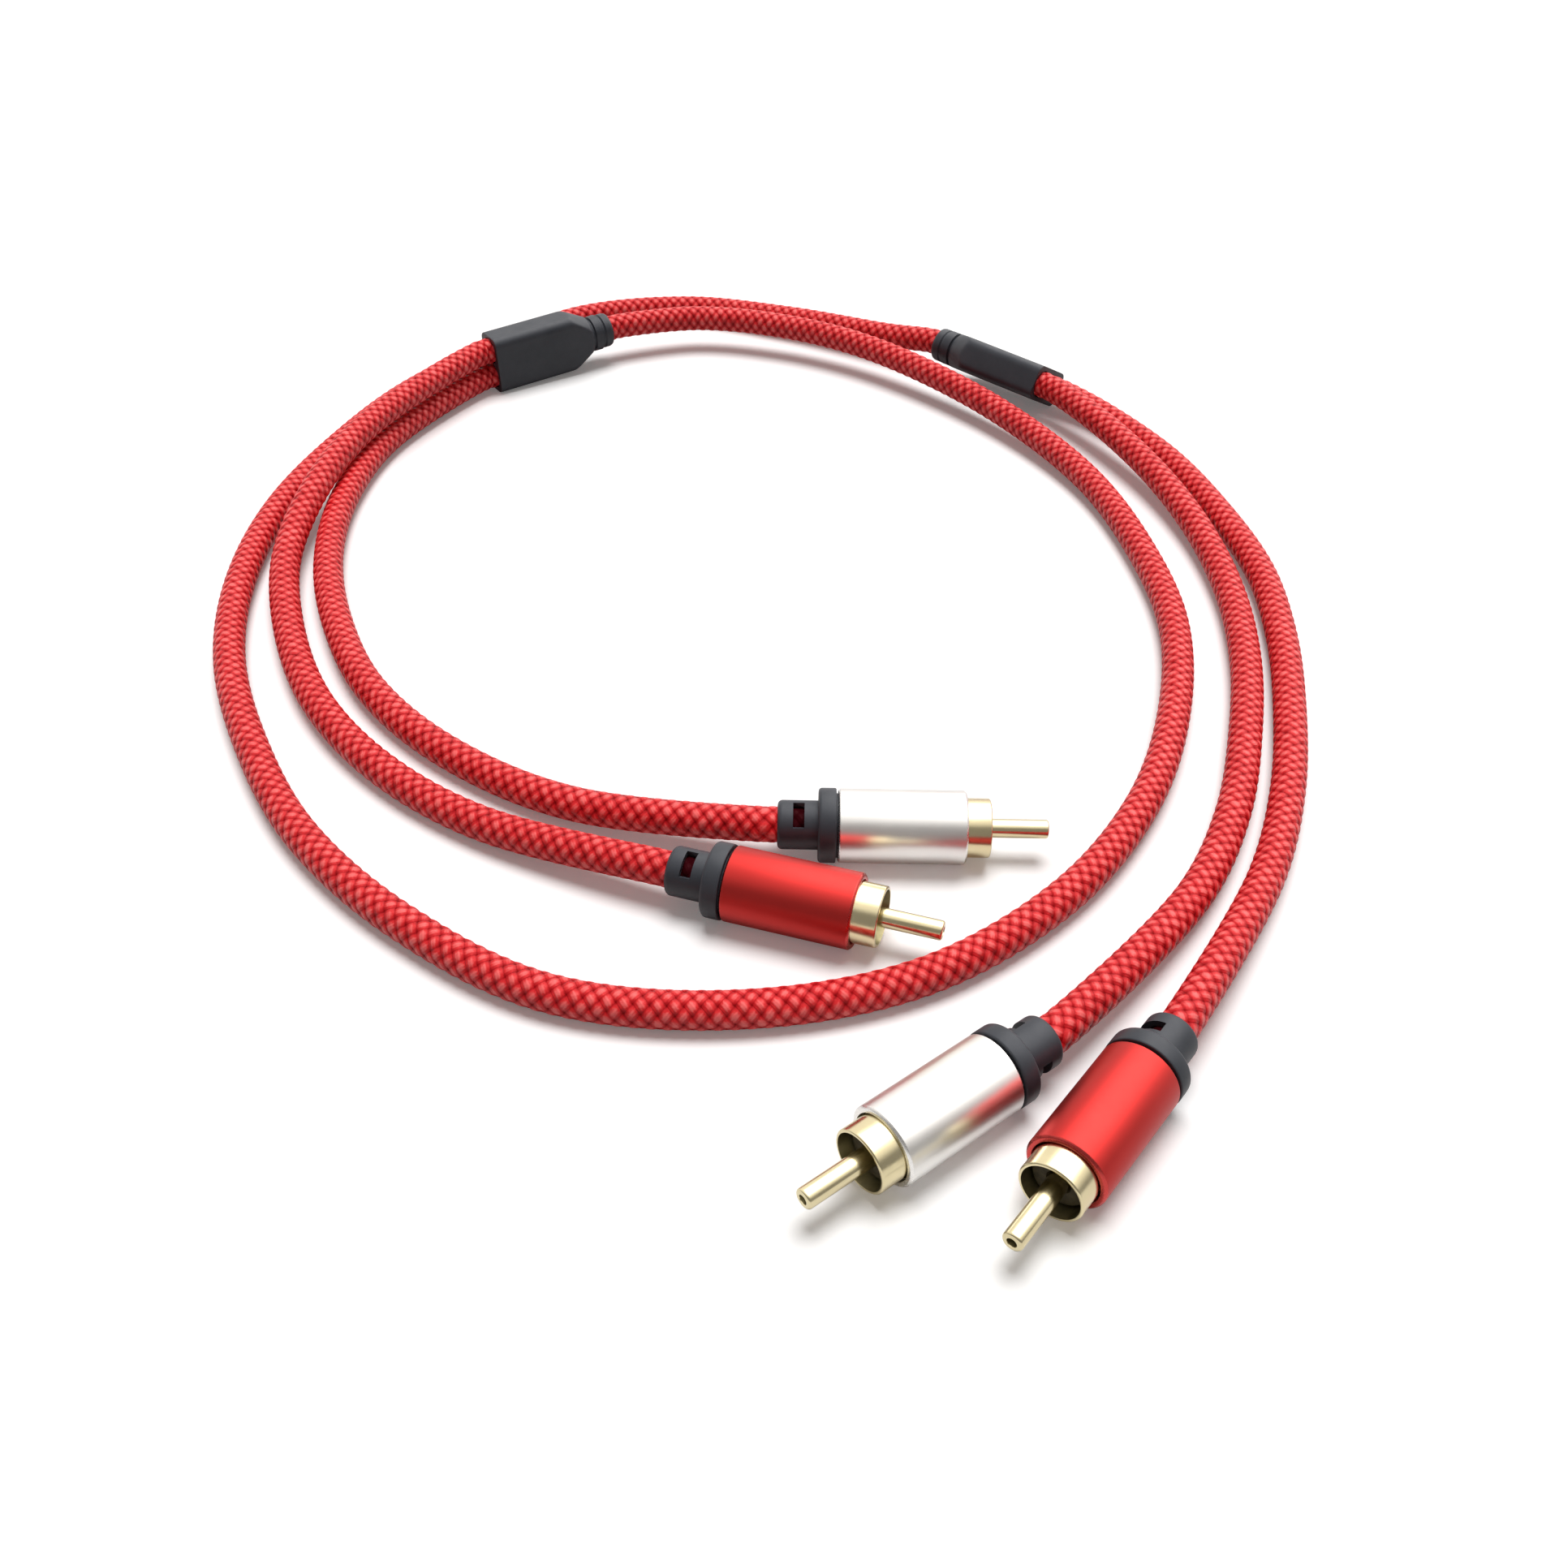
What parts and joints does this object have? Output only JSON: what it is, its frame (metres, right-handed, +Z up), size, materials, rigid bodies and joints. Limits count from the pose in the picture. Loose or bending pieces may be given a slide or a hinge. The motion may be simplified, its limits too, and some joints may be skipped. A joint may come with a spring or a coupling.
{
  "type": "rca audio cable",
  "caption": "Stereo phono audio cable: a round braided cord that forks through moulded splitters at both ends into tails, each with a metal-barrelled plug.",
  "frame": {"origin": "centre of the footprint of the plugs and splitters, on the plane that the cable lies on", "axes": "+Z up from the plane the cable lies on; +Y from the near plugs toward the splitters; +X to the right seen from the near plugs"},
  "size_m": [0.2184, 0.3018, 0.015],
  "materials": {
    "red_braid": "woven, slightly glossy yarn",
    "black_rubber": "smooth satin",
    "red_shell": "satin anodised red",
    "silver_shell": "satin",
    "gold_plate": "polished, gold plated",
    "black_insulator": "matte",
    "white_insulation": "smooth",
    "copper_wire": "bare copper"
  },
  "bodies": {
    "root": {"rear_silver_strain_relief": "black_rubber", "rear_silver_shell": "silver_shell", "rear_silver_ground_skirt": "gold_plate", "rear_silver_insulator": "black_insulator", "rear_silver_centre_pin": "gold_plate", "rear_silver_wire_insulation": "white_insulation", "rear_silver_signal_wire": "copper_wire", "rear_silver_tail": "red_braid", "rear_red_strain_relief": "black_rubber", "rear_red_shell": "red_shell", "rear_red_ground_skirt": "gold_plate", "rear_red_insulator": "black_insulator", "rear_red_centre_pin": "gold_plate", "rear_red_wire_insulation": "white_insulation", "rear_red_signal_wire": "copper_wire", "rear_red_tail": "red_braid", "front_silver_strain_relief": "black_rubber", "front_silver_shell": "silver_shell", "front_silver_ground_skirt": "gold_plate", "front_silver_insulator": "black_insulator", "front_silver_centre_pin": "gold_plate", "front_silver_wire_insulation": "white_insulation", "front_silver_signal_wire": "copper_wire", "front_silver_tail": "red_braid", "front_red_strain_relief": "black_rubber", "front_red_shell": "red_shell", "front_red_ground_skirt": "gold_plate", "front_red_insulator": "black_insulator", "front_red_centre_pin": "gold_plate", "front_red_wire_insulation": "white_insulation", "front_red_signal_wire": "copper_wire", "front_red_tail": "red_braid", "left_splitter": "black_rubber", "right_splitter": "black_rubber", "trunk_cord": "red_braid"}
  },
  "joints": []
}
